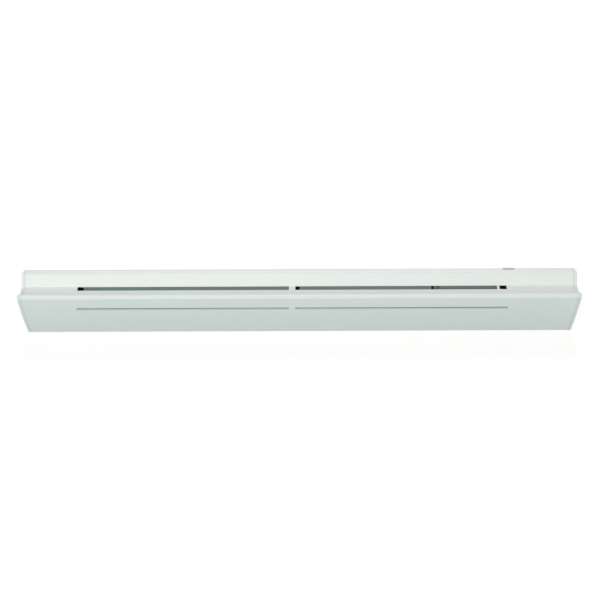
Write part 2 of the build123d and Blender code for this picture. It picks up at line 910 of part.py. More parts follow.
with BuildPart() as sensor_yoke:
    block((yoke_start, yoke_end), (yoke_front, yoke_back), (bar_bottom, bar_top))
    block((yoke_start, yoke_end), (yoke_back, tongue_back), (tongue_bottom, tongue_top))
    peg_half = peg_radius + slide_fit
    block(
        (peg_x - peg_half - prong_wall, yoke_end),
        (tongue_front, tongue_back),
        (tongue_bottom, tongue_top),
    )
    block(
        (peg_x - peg_half - prong_wall, peg_x + peg_half + prong_wall),
        (tongue_front - prong_length, tongue_back),
        (tongue_bottom, tongue_top),
    )
    block(
        (peg_x - peg_half, peg_x + peg_half),
        (tongue_front - prong_length, tongue_front),
        (tongue_bottom, tongue_top),
        mode=Mode.SUBTRACT,
    )
    strip_bars(yoke_end - strip_grip, yoke_end, press_fit, Mode.SUBTRACT)
    rod(
        spring_wire_radius + press_fit,
        yoke_start,
        yoke_start + spring_stub,
        strip_y,
        spring_z + spring_radius,
        Mode.SUBTRACT,
    )
sensor_yoke.part.label = "sensor_yoke"

with BuildPart() as anchor_block:
    block(
        (anchor_start, anchor_start + yoke_thickness),
        (yoke_front, yoke_back),
        (bar_bottom, bar_top),
    )
    strip_bars(anchor_start, anchor_start + strip_grip, press_fit, Mode.SUBTRACT)
    rod(
        calibration_radius + press_fit,
        anchor_start,
        anchor_start + yoke_thickness,
        strip_y,
        strip_z,
        Mode.SUBTRACT,
    )
anchor_block.part.label = "anchor_block"

with BuildPart() as humidity_strips:
    strip_bars(yoke_end - strip_grip, anchor_start + strip_grip, 0)
humidity_strips.part.label = "humidity_strips"

with BuildPart() as calibration_screw:
    rod(calibration_radius, anchor_start, cassette_end, strip_y, strip_z)
    rod(
        calibration_head_radius,
        cassette_end,
        cassette_end + calibration_head_height,
        strip_y,
        strip_z,
    )
    block(
        (
            cassette_end + calibration_head_height - calibration_slot,
            cassette_end + calibration_head_height,
        ),
        (strip_y - calibration_slot / 2, strip_y + calibration_slot / 2),
        (strip_z - 2 * calibration_head_radius, strip_z + 2 * calibration_head_radius),
        mode=Mode.SUBTRACT,
    )
calibration_screw.part.label = "calibration_screw"

# Tension spring: a coil with a straight stub into the tray's wall and the yoke
coil_start = cassette_start + cassette_wall + loose
coil_end = yoke_start - loose - yoke_travel
coil_length = coil_end - coil_start
coil_steps = spring_turns * spring_steps
coil_points = [
    (
        coil_start + coil_length * step / coil_steps,
        strip_y + spring_radius * sin(radians(360 * step / spring_steps)),
        spring_z + spring_radius * cos(radians(360 * step / spring_steps)),
    )
    for step in range(coil_steps + 1)
]
with BuildPart() as return_spring:
    with BuildLine() as coil:
        Polyline(*coil_points)
    coil_path = coil.wire()
    with BuildSketch(Plane(origin=coil_path @ 0, z_dir=coil_path % 0)):
        RegularPolygon(spring_wire_radius, 6)
    sweep(path=coil_path, transition=Transition.RIGHT)
    stub_z = spring_z + spring_radius
    rod(spring_wire_radius, cassette_start, coil_start, strip_y, stub_z)
    rod(spring_wire_radius, coil_end, yoke_start + spring_stub, strip_y, stub_z)
return_spring.part.label = "return_spring"

# Closing slider: a thin tab on the rear edge, a stem, a foot and a long arm
with BuildPart() as closing_slider:
    block(
        (knob_start, knob_start + knob_length),
        (-knob_back, -stem_front - slide_fit - knob_lap),
        (top_z + knob_lift, top_z + knob_lift + knob_thickness),
    )
    block(
        (stem_start, stem_end),
        (-stem_back, -stem_front),
        (slider_foot_bottom, top_z + knob_lift),
    )
    block(
        (stem_start, stem_end),
        (-stem_back, -slider_arm_back),
        (slider_foot_bottom, slider_foot_top),
    )
    block(
        (stem_start - slider_foot_margin, stem_end + slider_foot_margin),
        (-slider_arm_back + slider_foot_thickness, -slider_arm_back - slider_arm_depth),
        (slider_arm_bottom, slider_foot_top),
    )
    block(
        (slider_tip, stem_start),
        (-slider_arm_back, -slider_arm_back - slider_arm_depth),
        (slider_arm_bottom, slider_arm_bottom + slider_arm_height),
    )
closing_slider.part.label = "closing_slider"

pieces = (
    front_cover.part,
    caps["end_cap_left"],
    caps["end_cap_right"],
    base_plate.part,
    rear_gasket.part,
    shutter_left.part,
    shutter_right.part,
    shutter_axle.part,
    axle_bushes.part,
    axle_clips.part,
    shutter_crank.part,
    drive_lever.part,
    lever_pin.part,
    sensor_cassette.part,
    cassette_screws.part,
    insulation_pad.part,
    sensor_shroud.part,
    sensor_yoke.part,
    anchor_block.part,
    humidity_strips.part,
    calibration_screw.part,
    return_spring.part,
    closing_slider.part,
)
os.makedirs("parts", exist_ok=True)
for piece in pieces:
    export_step(piece, f"parts/{piece.label}.step")
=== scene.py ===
"""Looks of a humidity-controlled air inlet: finishes, fine detail, light and camera."""

from math import copysign, cos, pi, radians, sin, tau

import bmesh
import bpy
from mathutils import Matrix, Vector, noise


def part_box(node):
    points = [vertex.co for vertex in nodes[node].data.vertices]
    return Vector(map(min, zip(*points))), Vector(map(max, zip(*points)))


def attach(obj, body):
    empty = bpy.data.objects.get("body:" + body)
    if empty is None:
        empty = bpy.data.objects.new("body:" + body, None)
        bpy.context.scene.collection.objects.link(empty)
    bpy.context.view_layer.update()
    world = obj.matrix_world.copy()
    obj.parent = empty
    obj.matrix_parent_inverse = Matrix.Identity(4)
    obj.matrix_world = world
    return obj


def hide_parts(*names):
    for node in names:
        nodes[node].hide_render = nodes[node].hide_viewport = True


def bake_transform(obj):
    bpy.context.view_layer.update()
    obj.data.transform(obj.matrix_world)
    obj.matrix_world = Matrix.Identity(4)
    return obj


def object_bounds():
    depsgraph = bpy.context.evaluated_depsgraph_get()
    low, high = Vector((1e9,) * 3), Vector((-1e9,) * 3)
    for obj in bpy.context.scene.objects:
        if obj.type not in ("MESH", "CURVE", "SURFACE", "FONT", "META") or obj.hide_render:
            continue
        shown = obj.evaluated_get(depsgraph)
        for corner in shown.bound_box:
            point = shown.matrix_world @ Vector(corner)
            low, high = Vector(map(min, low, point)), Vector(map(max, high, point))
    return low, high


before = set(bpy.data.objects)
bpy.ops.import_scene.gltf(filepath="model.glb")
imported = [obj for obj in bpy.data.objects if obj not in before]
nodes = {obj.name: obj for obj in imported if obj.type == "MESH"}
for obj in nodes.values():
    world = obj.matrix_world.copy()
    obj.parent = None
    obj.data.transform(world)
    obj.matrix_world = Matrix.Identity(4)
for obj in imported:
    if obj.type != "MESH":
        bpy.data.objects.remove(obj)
cad_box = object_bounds()
scene = bpy.context.scene
MM = 0.001

# Camera: the photograph is 600 x 600 pixels and shows the nose's middle at this pixel
IMAGE_SIZE = 600
NOSE_PIXEL = (299.35, 296.7)
FOCAL_PIXELS = 961.0
CAMERA_ELEVATION = radians(25.0)
CAMERA_DISTANCE = 680 * MM
CAMERA_ROLL = radians(-0.22)
SENSOR_WIDTH = 36.0
NOSE_POINT = Vector((0, -25.0, 12.3)) * MM

# Floor, surroundings and lamps; a lamp is its place, its power and its colour
FLOOR_GAP = 0.2 * MM
FLOOR_SIZE = 6.0
FLOOR_COLOUR = (0.50, 0.60, 0.60, 1)
FLOOR_LIFT = 0.64
FLOOR_GLOW = (1.0, 0.86, 0.86, 1)
SKY_COLOUR = (0.937, 1.0, 0.99)
SKY_STRENGTH = 0.46
BACKDROP_STRENGTH = 1.0
LAMP_SIZE = 1.4
FRONT_LAMP = (Vector((-0.36, -1.7, 0.8)), 20.8, (1.0, 0.98, 0.955))
REAR_LAMP = (Vector((0, 1.5, 1.25)), 12.1, (1.0, 1.0, 1.0))

# Colours of the finishes, linear
COVER_WHITE = (0.80, 0.825, 0.805)
# The end caps are the cover's white plastic, coloured darker as painted shade on the ends
CAP_WHITE_PAINTED_SHADE = (0.76, 0.785, 0.77)
# Painted shade: the base plate is near black so that its rim shows as the shadow line along the top
# edge and the inside behind the slots looks dark
BASE_PAINTED_SHADE_BLACK = (0.022, 0.024, 0.024)
FLAP_GREY = (0.385, 0.505, 0.485)
CRANK_GREY = (0.20, 0.235, 0.22)
SHROUD_GREY = (0.225, 0.272, 0.26)
TRAY_WHITE = (0.70, 0.72, 0.70)
ACETAL_WHITE = (0.74, 0.73, 0.68)
RIBBON_CREAM = (0.80, 0.77, 0.67)
STEEL_GREY = (0.55, 0.55, 0.56)
BRASS_YELLOW = (0.72, 0.52, 0.23)
PAD_GREY = (0.16, 0.17, 0.175)
GASKET_BLACK = (0.035, 0.035, 0.038)
KNOB_GREY = (0.50, 0.52, 0.51)

# Surfaces: how many grains, drifts and lines there are to a metre, and how they look
GRAIN_SIZE = 1500.0
FINE_GRAIN_SIZE = 2600.0
DRIFT_SIZE = 14.0
GRAIN_RANGE = (0.35, 0.65)
LINES_ALONG = 60
LINES_ACROSS = 4000
WAVE_PERIOD = pi / 10  # length of one band of the wave texture at a scale of one
GLOSS_SPREAD = 0.05
# How dark the painted shade in grooves and between woven threads is
PAINTED_GROOVE_SHADE = 0.8
METAL_LINE_SHADE = 0.86
METAL_GLOSS_SPREAD = 0.08
# How dark the painted shade in the foam's low cell walls is
FOAM_PAINTED_SHADE = 0.55
FOAM_WALL_REACH = 0.7

# Points of a CAD mesh that lie closer than this are joined
WELD_DISTANCE = 0.001 * MM

# Ribbons and spring
RIBBON_HALF_THICKNESS = 0.08 * MM
RIBBON_SIDES = 12
RIBBON_THICKNESS_POWER = 0.5
RIBBON_WIDTH_POWER = 0.2
RIBBON_STATIONS = 60
RIBBON_WAVE = 0.05 * MM
RIBBON_WAVE_LENGTH = 11 * MM
WIRE_RADIUS = 0.24 * MM
SPRING_TURNS = 6
SPRING_TURN_STEPS = 12
SPRING_WALL_END = 1.5 * MM
SPRING_YOKE_END = 2.9 * MM

# Screws
THREAD_RINGS = 8
SCREW_STEPS = 48
TRAY_SCREW = {"shank": 1.1 * MM, "pitch": 0.8 * MM, "depth": 0.22 * MM, "head": 1.4 * MM}
SET_SCREW = {"shank": 1.0 * MM, "pitch": 0.5 * MM, "depth": 0.14 * MM, "head": 1.6 * MM}
SCREW_TIP_SHARE = 0.6
HEAD_RIM_SHARE = 0.45
PAN_HEAD_PROFILE = ((0.7, 0.95), (0.88, 0.8), (0.97, 0.55), (1.0, 0.3))
RECESS_DEPTH = 0.9 * MM
RECESS_WIDTH = 0.55 * MM
RECESS_LENGTH = 2.5 * MM
RECESS_TAPER = 0.5
SLOT_DEPTH = 0.6 * MM
SLOT_WIDTH = 0.5 * MM
KNURL_COUNT = 24
KNURL_DEPTH = 0.07 * MM
KNURL_STEPS = 4
KNURL_TOP_SHARE = 0.88
KNURL_CHAMFER_SHARE = 0.86

# Foam
GASKET_WIDTH = 3.7 * MM
GASKET_STEP = 3.0 * MM
GASKET_WIDTH_POWER = 0.25
GASKET_DEPTH_POWER = 0.5
FOAM_SECTION_SIDES = 16
FOAM_UNEVENNESS = 0.05 * MM
FOAM_LUMP_SIZE = 2.5 * MM
PAD_EDGE = 0.2 * MM


def new_group(name, inputs, outputs):
    """A shader node group with named sockets, and its input and output nodes."""
    group = bpy.data.node_groups.new(name, "ShaderNodeTree")
    for socket, kind, value in inputs:
        made = group.interface.new_socket(name=socket, in_out="INPUT", socket_type=kind)
        made.default_value = value
    for socket, kind in outputs:
        group.interface.new_socket(name=socket, in_out="OUTPUT", socket_type=kind)
    start = group.nodes.new("NodeGroupInput")
    end = group.nodes.new("NodeGroupOutput")
    return group, start, end


def add_node(tree, kind, **settings):
    """A node of that kind, with its properties and the values of its sockets set."""
    node = tree.nodes.new(kind)
    for key, value in settings.items():
        if key in node.inputs:
            node.inputs[key].default_value = value
        else:
            setattr(node, key, value)
    return node


def remap(tree, value, low, high, from_low=0.0, from_high=1.0):
    """The value moved from one range to another."""
    ranged = add_node(tree, "ShaderNodeMapRange")
    ranged.inputs["From Min"].default_value = from_low
    ranged.inputs["From Max"].default_value = from_high
    ranged.inputs["To Min"].default_value = low
    ranged.inputs["To Max"].default_value = high
    tree.links.new(value, ranged.inputs["Value"])
    return ranged.outputs["Result"]


def moulded_grain():
    """Fine spark-eroded skin of a moulding, with a slow drift of its tone."""
    group, start, end = new_group(
        "MouldedGrain",
        [
            ("Grain Size", "NodeSocketFloat", GRAIN_SIZE),
            ("Drift Size", "NodeSocketFloat", DRIFT_SIZE),
        ],
        [
            ("Height", "NodeSocketFloat"),
            ("Grain", "NodeSocketFloat"),
            ("Drift", "NodeSocketFloat"),
        ],
    )
    place = add_node(group, "ShaderNodeTexCoord")
    grain = add_node(group, "ShaderNodeTexNoise", Detail=3.0, Roughness=0.6)
    drift = add_node(group, "ShaderNodeTexNoise", Detail=2.0, Roughness=0.5)
    link = group.links.new
    link(place.outputs["Object"], grain.inputs["Vector"])
    link(place.outputs["Object"], drift.inputs["Vector"])
    link(start.outputs["Grain Size"], grain.inputs["Scale"])
    link(start.outputs["Drift Size"], drift.inputs["Scale"])
    link(remap(group, grain.outputs["Fac"], 0, 1, *GRAIN_RANGE), end.inputs["Grain"])
    link(grain.outputs["Fac"], end.inputs["Height"])
    link(drift.outputs["Fac"], end.inputs["Drift"])
    return group


def fine_ridges():
    """Parallel ridges across X and across Z, and the two crossed as in a weave."""
    group, start, end = new_group(
        "FineRidges",
        [("Ridge Size", "NodeSocketFloat", 1000.0)],
        [
            ("Along X", "NodeSocketFloat"),
            ("Along Z", "NodeSocketFloat"),
            ("Crossed", "NodeSocketFloat"),
        ],
    )
    place = add_node(group, "ShaderNodeTexCoord")
    crossed = add_node(group, "ShaderNodeMath", operation="MULTIPLY")
    for number, axis in enumerate("XZ"):
        wave = add_node(group, "ShaderNodeTexWave", bands_direction=axis)
        group.links.new(place.outputs["Object"], wave.inputs["Vector"])
        group.links.new(start.outputs["Ridge Size"], wave.inputs["Scale"])
        group.links.new(wave.outputs["Fac"], end.inputs[f"Along {axis}"])
        group.links.new(wave.outputs["Fac"], crossed.inputs[number])
    group.links.new(crossed.outputs["Value"], end.inputs["Crossed"])
    return group


GRAIN = moulded_grain()
RIDGES = fine_ridges()


def new_material(name):
    """A material, its node tree and its shader."""
    material = bpy.data.materials.new(name)
    material.use_nodes = True
    tree = material.node_tree
    return material, tree, tree.nodes["Principled BSDF"]


def mix_colour(tree, mask, low, high):
    """The colour between low and high that the mask picks."""
    mix = add_node(tree, "ShaderNodeMix", data_type="RGBA")
    mix.inputs["A"].default_value = (*low, 1)
    mix.inputs["B"].default_value = (*high, 1)
    tree.links.new(mask, mix.inputs["Factor"])
    return mix.outputs["Result"]


def shade(colour, factor):
    """The colour made lighter or darker."""
    return tuple(min(1.0, part * factor) for part in colour)


def raise_surface(tree, shader, height, strength, distance):
    """The shader's normal tilted by a height."""
    bump = add_node(tree, "ShaderNodeBump", Strength=strength, Distance=distance)
    tree.links.new(height, bump.inputs["Height"])
    tree.links.new(bump.outputs["Normal"], shader.inputs["Normal"])


def moulded_plastic(
    name, colour, roughness, grain_size=GRAIN_SIZE, depth=0.02 * MM, spread=0.04
):
    """A matt or satin moulding: a drifting tone, a fine grain and uneven gloss."""
    material, tree, shader = new_material(name)
    shader.inputs["Specular IOR Level"].default_value = 0.4
    grain = add_node(tree, "ShaderNodeGroup", node_tree=GRAIN)
    grain.inputs["Grain Size"].default_value = grain_size
    darker, lighter = shade(colour, 1 - spread), shade(colour, 1 + spread)
    tone = mix_colour(tree, grain.outputs["Drift"], darker, lighter)
    tree.links.new(tone, shader.inputs["Base Color"])
    smoother, rougher = roughness - GLOSS_SPREAD, roughness + GLOSS_SPREAD
    gloss = remap(tree, grain.outputs["Grain"], smoother, rougher)
    tree.links.new(gloss, shader.inputs["Roughness"])
    raise_surface(tree, shader, grain.outputs["Height"], strength=0.35, distance=depth)
    return material


def ridged_plastic(name, colour, roughness, ridge):
    """A moulding with grip ridges across its length, with painted shade in the grooves between them.
    """
    material, tree, shader = new_material(name)
    ridges = add_node(tree, "ShaderNodeGroup", node_tree=RIDGES)
    ridges.inputs["Ridge Size"].default_value = WAVE_PERIOD / ridge
    # painted shade in the grooves between the ridges
    tone = mix_colour(tree, ridges.outputs["Along X"], shade(colour, PAINTED_GROOVE_SHADE), colour)
    tree.links.new(tone, shader.inputs["Base Color"])
    groove, crest = roughness + 2 * GLOSS_SPREAD, roughness - GLOSS_SPREAD
    gloss = remap(tree, ridges.outputs["Along X"], groove, crest)
    tree.links.new(gloss, shader.inputs["Roughness"])
    raise_surface(tree, shader, ridges.outputs["Along X"], strength=0.6, distance=0.1 * MM)
    return material


def woven_nylon(name, colour, thread):
    """A narrow woven band, a little glossy where the threads stand proud, with painted shade between
    the threads.
    """
    material, tree, shader = new_material(name)
    shader.inputs["Specular IOR Level"].default_value = 0.5
    ridges = add_node(tree, "ShaderNodeGroup", node_tree=RIDGES)
    ridges.inputs["Ridge Size"].default_value = WAVE_PERIOD / thread
    # painted shade in the hollows between the threads
    tone = mix_colour(tree, ridges.outputs["Crossed"], shade(colour, PAINTED_GROOVE_SHADE), colour)
    tree.links.new(tone, shader.inputs["Base Color"])
    gloss = remap(tree, ridges.outputs["Crossed"], low=0.65, high=0.4)
    tree.links.new(gloss, shader.inputs["Roughness"])
    raise_surface(tree, shader, ridges.outputs["Crossed"], strength=0.5, distance=0.04 * MM)
    return material


def drawn_metal(name, colour, roughness, along="X"):
    """Drawn or turned metal with fine lines along its length."""
    material, tree, shader = new_material(name)
    shader.inputs["Metallic"].default_value = 1.0
    place = add_node(tree, "ShaderNodeTexCoord")
    stretch = add_node(tree, "ShaderNodeMapping")
    scale = [LINES_ALONG if axis == along else LINES_ACROSS for axis in "XYZ"]
    stretch.inputs["Scale"].default_value = scale
    streaks = add_node(tree, "ShaderNodeTexNoise", Scale=1.0, Detail=2.0)
    tree.links.new(place.outputs["Object"], stretch.inputs["Vector"])
    tree.links.new(stretch.outputs["Vector"], streaks.inputs["Vector"])
    tone = mix_colour(tree, streaks.outputs["Fac"], shade(colour, METAL_LINE_SHADE), colour)
    tree.links.new(tone, shader.inputs["Base Color"])
    smoother, rougher = roughness - METAL_GLOSS_SPREAD, roughness + METAL_GLOSS_SPREAD
    gloss = remap(tree, streaks.outputs["Fac"], smoother, rougher)
    tree.links.new(gloss, shader.inputs["Roughness"])
    raise_surface(tree, shader, streaks.outputs["Fac"], strength=0.2, distance=0.01 * MM)
    return material


def foam(name, colour, cell_size):
    """Closed-cell foam: small cells with painted shade in the low walls between them."""
    material, tree, shader = new_material(name)
    place = add_node(tree, "ShaderNodeTexCoord")
    cells = add_node(tree, "ShaderNodeTexVoronoi", Scale=1 / cell_size)
    tree.links.new(place.outputs["Object"], cells.inputs["Vector"])
    walls = remap(tree, cells.outputs["Distance"], 0, 1, from_high=FOAM_WALL_REACH)
    # painted shade in the crevices between the cells
    tone = mix_colour(tree, walls, colour, shade(colour, FOAM_PAINTED_SHADE))
    tree.links.new(tone, shader.inputs["Base Color"])
    gloss = remap(tree, walls, low=0.8, high=0.95)
    tree.links.new(gloss, shader.inputs["Roughness"])
    raise_surface(tree, shader, remap(tree, walls, 1, 0), strength=0.6, distance=0.15 * MM)
    return material


cover_plastic = moulded_plastic("CoverPlastic", COVER_WHITE, 0.42, spread=0.012)
# painted shade: the caps take a darker copy of the cover's white
cap_plastic = moulded_plastic("CapPlastic", CAP_WHITE_PAINTED_SHADE, 0.42, spread=0.012)
# painted shade: the base plate is coloured near black
base_plastic = moulded_plastic("BasePlastic", BASE_PAINTED_SHADE_BLACK, 0.55, spread=0.15)
flap_plastic = moulded_plastic("FlapPlastic", FLAP_GREY, 0.6, spread=0.05)
crank_plastic = moulded_plastic("CrankPlastic", CRANK_GREY, 0.5, spread=0.05)
shroud_plastic = moulded_plastic("ShroudPlastic", SHROUD_GREY, 0.6, spread=0.05)
tray_plastic = moulded_plastic("TrayPlastic", TRAY_WHITE, 0.45, spread=0.03)
acetal = moulded_plastic(
    "Acetal", ACETAL_WHITE, 0.3, grain_size=FINE_GRAIN_SIZE, depth=0.003 * MM
)
knob_plastic = ridged_plastic("KnobPlastic", KNOB_GREY, 0.5, 0.8 * MM)
ribbon_nylon = woven_nylon("RibbonNylon", RIBBON_CREAM, 0.22 * MM)
rod_steel = drawn_metal("RodSteel", STEEL_GREY, 0.3)
pin_steel = drawn_metal("PinSteel", STEEL_GREY, 0.3, along="Z")
screw_steel = drawn_metal("ScrewSteel", STEEL_GREY, 0.35, along="Y")
screw_brass = drawn_metal("ScrewBrass", BRASS_YELLOW, 0.3)
pad_foam = foam("PadFoam", PAD_GREY, 0.5 * MM)
gasket_foam = foam("GasketFoam", GASKET_BLACK, 0.4 * MM)

finishes = {
    "front_cover": cover_plastic,
    "end_cap_left": cap_plastic,
    "end_cap_right": cap_plastic,
    "base_plate": base_plastic,
    "rear_gasket": gasket_foam,
    "shutter_left": flap_plastic,
    "shutter_right": flap_plastic,
    "shutter_axle": rod_steel,
    "axle_bushes": acetal,
    "axle_clips": rod_steel,
    "shutter_crank": crank_plastic,
    "drive_lever": acetal,
    "lever_pin": pin_steel,
    "sensor_cassette": tray_plastic,
    "cassette_screws": screw_steel,
    "insulation_pad": pad_foam,
    "sensor_shroud": shroud_plastic,
    "sensor_yoke": acetal,
    "anchor_block": tray_plastic,
    "humidity_strips": ribbon_nylon,
    "calibration_screw": screw_brass,
    "return_spring": rod_steel,
    "closing_slider": knob_plastic,
}
for node_name, material in finishes.items():
    for slot in nodes[node_name].material_slots:
        slot.material = material


def solid_boxes(node_name):
    """The lowest and highest corner of each separate solid of a node, in order."""
    shape = bmesh.new()
    shape.from_mesh(nodes[node_name].data)
    bmesh.ops.remove_doubles(shape, verts=shape.verts, dist=WELD_DISTANCE)
    waiting = set(shape.verts)
    boxes = []
    while waiting:
        reached = [waiting.pop()]
        for vert in reached:
            for edge in vert.link_edges:
                other = edge.other_vert(vert)
                if other in waiting:
                    waiting.discard(other)
                    reached.append(other)
        places = [vert.co for vert in reached]
        low = Vector(min(place[axis] for place in places) for axis in range(3))
        high = Vector(max(place[axis] for place in places) for axis in range(3))
        boxes.append((low, high))
    shape.free()
    return sorted(boxes, key=lambda box: tuple(box[0]))


def squared(wave, power):
    """A sine or cosine pushed outwards, so that a round section gets flatter sides."""
    return copysign(abs(wave) ** power, wave)


def skinned_mesh(name, sections, ring=False):
    """A closed mesh over a row of sections; a ring joins its last section to its first."""
    count = len(sections[0])
    points = [point for section in sections for point in section]
    rows = len(sections) if ring else len(sections) - 1
    faces = []
    for row in range(rows):
        here = row * count
        after = (row + 1) % len(sections) * count
        for side in range(count):
            near = (side + 1) % count
            faces.append((here + side, here + near, after + near, after + side))
    if not ring:
        faces.append(tuple(reversed(range(count))))
        faces.append(tuple(range(rows * count, (rows + 1) * count)))
    mesh = bpy.data.meshes.new(name)
    mesh.from_pydata(points, [], faces)
    return mesh


def turned_mesh(name, rings, steps=SCREW_STEPS):
    """A mesh turned round Z. A ring is its height and its radius at each angle."""
    sections = []
    for height, radius in rings:
        angles = [tau * step / steps for step in range(steps)]
        sections.append([(radius(a) * cos(a), radius(a) * sin(a), height) for a in angles])
    return skinned_mesh(name, sections)


def joined_mesh(name, meshes):
    """One mesh that holds several."""
    shape = bmesh.new()
    for mesh in meshes:
        shape.from_mesh(mesh)
    bmesh.ops.recalc_face_normals(shape, faces=shape.faces)
    joined = bpy.data.meshes.new(name)
    shape.to_mesh(joined)
    shape.free()
    return joined


def carved_mesh(mesh, cutter):
    """The mesh with the cutter's shape taken out of it."""
    whole = bpy.data.objects.new("carve_whole", mesh)
    tool = bpy.data.objects.new("carve_tool", cutter)
    for item in (whole, tool):
        scene.collection.objects.link(item)
    carve = whole.modifiers.new("carve", "BOOLEAN")
    carve.operation = "DIFFERENCE"
    carve.object = tool
    graph = bpy.context.evaluated_depsgraph_get()
    carved = bpy.data.meshes.new_from_object(whole.evaluated_get(graph))
    for item in (whole, tool):
        bpy.data.objects.remove(item)
    return carved


def add_piece(name, mesh, material, slot_name, *replaced, smooth=30.0):
    """A piece with its finish, which stands for the CAD nodes named."""
    mesh.materials.clear()
    mesh.materials.append(material)
    mesh.shade_smooth()
    mesh.set_sharp_from_angle(angle=radians(smooth))
    piece = bpy.data.objects.new(name, mesh)
    scene.collection.objects.link(piece)
    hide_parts(*replaced)
    return piece


def ribbon_mesh(low, high, phase):
    """A thin band with rounded edges that waves a little between its two grips."""
    centre = (low + high) / 2
    half_width = (high.z - low.z) / 2
    sections = []
    for station in range(RIBBON_STATIONS + 1):
        share = station / RIBBON_STATIONS
        x = low.x + (high.x - low.x) * share
        wave = RIBBON_WAVE * sin(pi * share) * sin(tau * x / RIBBON_WAVE_LENGTH + phase)
        section = []
        for side in range(RIBBON_SIDES):
            across, along = cos(tau * side / RIBBON_SIDES), sin(tau * side / RIBBON_SIDES)
            y = centre.y + wave + RIBBON_HALF_THICKNESS * squared(across, RIBBON_THICKNESS_POWER)
            z = centre.z + half_width * squared(along, RIBBON_WIDTH_POWER)
            section.append((x, y, z))
        sections.append(section)
    return skinned_mesh("ribbon", sections)


def humidity_ribbons():
    """The eight nylon ribbons, held in the anchor block and pulling on the yoke."""
    boxes = solid_boxes("humidity_strips")
    meshes = [ribbon_mesh(low, high, number) for number, (low, high) in enumerate(boxes)]
    ribbons = add_piece(
        "ribbons", joined_mesh("ribbons", meshes), ribbon_nylon, "nylon_ribbon", "humidity_strips"
    )
    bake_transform(ribbons)


def tension_spring():
    """A coil of round wire with a straight end in the tray's wall and one in the yoke."""
    low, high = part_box("return_spring")
    centre = (Vector(low) + Vector(high)) / 2
    radius = (high[2] - low[2]) / 2 - WIRE_RADIUS
    coil_start = low[0] + SPRING_WALL_END
    coil_end = high[0] - SPRING_YOKE_END
    steps = SPRING_TURNS * SPRING_TURN_STEPS
    top = centre.z + radius
    route = [(low[0], centre.y, top), (coil_start - 2 * WIRE_RADIUS, centre.y, top)]
    for step in range(steps + 1):
        angle = tau * step / SPRING_TURN_STEPS
        x = coil_start + (coil_end - coil_start) * step / steps
        route.append((x, centre.y + radius * sin(angle), centre.z + radius * cos(angle)))
    route += [(coil_end + 2 * WIRE_RADIUS, centre.y, top), (high[0], centre.y, top)]
    wire = bpy.data.curves.new("spring_wire", "CURVE")
    wire.dimensions = "3D"
    wire.bevel_depth = WIRE_RADIUS
    wire.bevel_resolution = 3
    wire.resolution_u = 3
    wire.use_fill_caps = True
    spline = wire.splines.new("NURBS")
    spline.points.add(len(route) - 1)
    for point, place in zip(spline.points, route):
        point.co = (*place, 1)
    spline.order_u = 3
    spline.use_endpoint_u = True
    holder = bpy.data.objects.new("spring_wire", wire)
    mesh = bpy.data.meshes.new_from_object(holder)
    bpy.data.objects.remove(holder)
    spring = add_piece("spring", mesh, rod_steel, "steel", "return_spring")
    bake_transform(spring)


def screw_rings(length, sizes, head_edge):
    """Rings of a screw from its tip at height 0 to its head's rim, and the head's height."""
    shank, pitch, depth, head = (sizes[key] for key in ("shank", "pitch", "depth", "head"))
    core = shank - depth
    neck = length - head

    def thread(height):
        turns = height / pitch
        return lambda angle: core + depth * (1 - abs(2 * ((turns - angle / tau) % 1) - 1))

    def plain(radius):
        return lambda angle: radius

    rings = [(0.0, plain(core * SCREW_TIP_SHARE)), (pitch / 4, plain(core))]
    spacing = pitch / THREAD_RINGS
    count = int((neck - pitch) / spacing)
    rings += [(pitch / 4 + spacing * n, thread(pitch / 4 + spacing * n)) for n in range(1, count)]
    rings += [(neck - pitch / 2, plain(core)), (neck, plain(core)), (neck, head_edge)]
    return rings + [(neck + HEAD_RIM_SHARE * head, head_edge)], neck


def bar_mesh(name, length, width, depth, taper, top, turn=0.0):
    """A bar that cuts a slot: its top is at a height, and it narrows downwards."""
    sections = []
    for height, share in ((top - depth, taper), (top + depth, 2 - taper)):
        half_length, half_width = length / 2 * share, width / 2 * share
        corners = ((-1, -1), (1, -1), (1, 1), (-1, 1))
        sections.append([(half_length * x, half_width * y, height) for x, y in corners])
    mesh = skinned_mesh(name, sections)
    mesh.transform(Matrix.Rotation(turn, 4, "Z"))
    return mesh


def stand_along(mesh, direction, tip):
    """The mesh turned from +Z to a direction, with its zero height at the tip."""
    turn = Vector((0, 0, 1)).rotation_difference(direction).to_matrix().to_4x4()
    mesh.transform(Matrix.Translation(tip) @ turn)
    return mesh


def tray_screws():
    """Two pan-head screws with a cross recess, which hold the tray's ears."""
    meshes = []
    for low, high in solid_boxes("cassette_screws"):
        length, radius = high.y - low.y, (high.x - low.x) / 2
        rings, neck = screw_rings(length, TRAY_SCREW, lambda angle: radius)
        head = TRAY_SCREW["head"]
        for rise, share in PAN_HEAD_PROFILE:
            rings.append((neck + head * rise, lambda angle, share=share: radius * share))
        screw = turned_mesh("tray_screw", rings)
        for turn in (0, pi / 2):
            bar = bar_mesh(
                "bit", RECESS_LENGTH, RECESS_WIDTH, RECESS_DEPTH, RECESS_TAPER, length, turn
            )
            screw = carved_mesh(screw, bar)
        tip = Vector(((low.x + high.x) / 2, high.y, (low.z + high.z) / 2))
        meshes.append(stand_along(screw, Vector((0, -1, 0)), tip))
    screws = joined_mesh("tray_screws", meshes)
    piece = add_piece("tray_screws", screws, screw_steel, "steel", "cassette_screws")
    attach(piece, "housing")


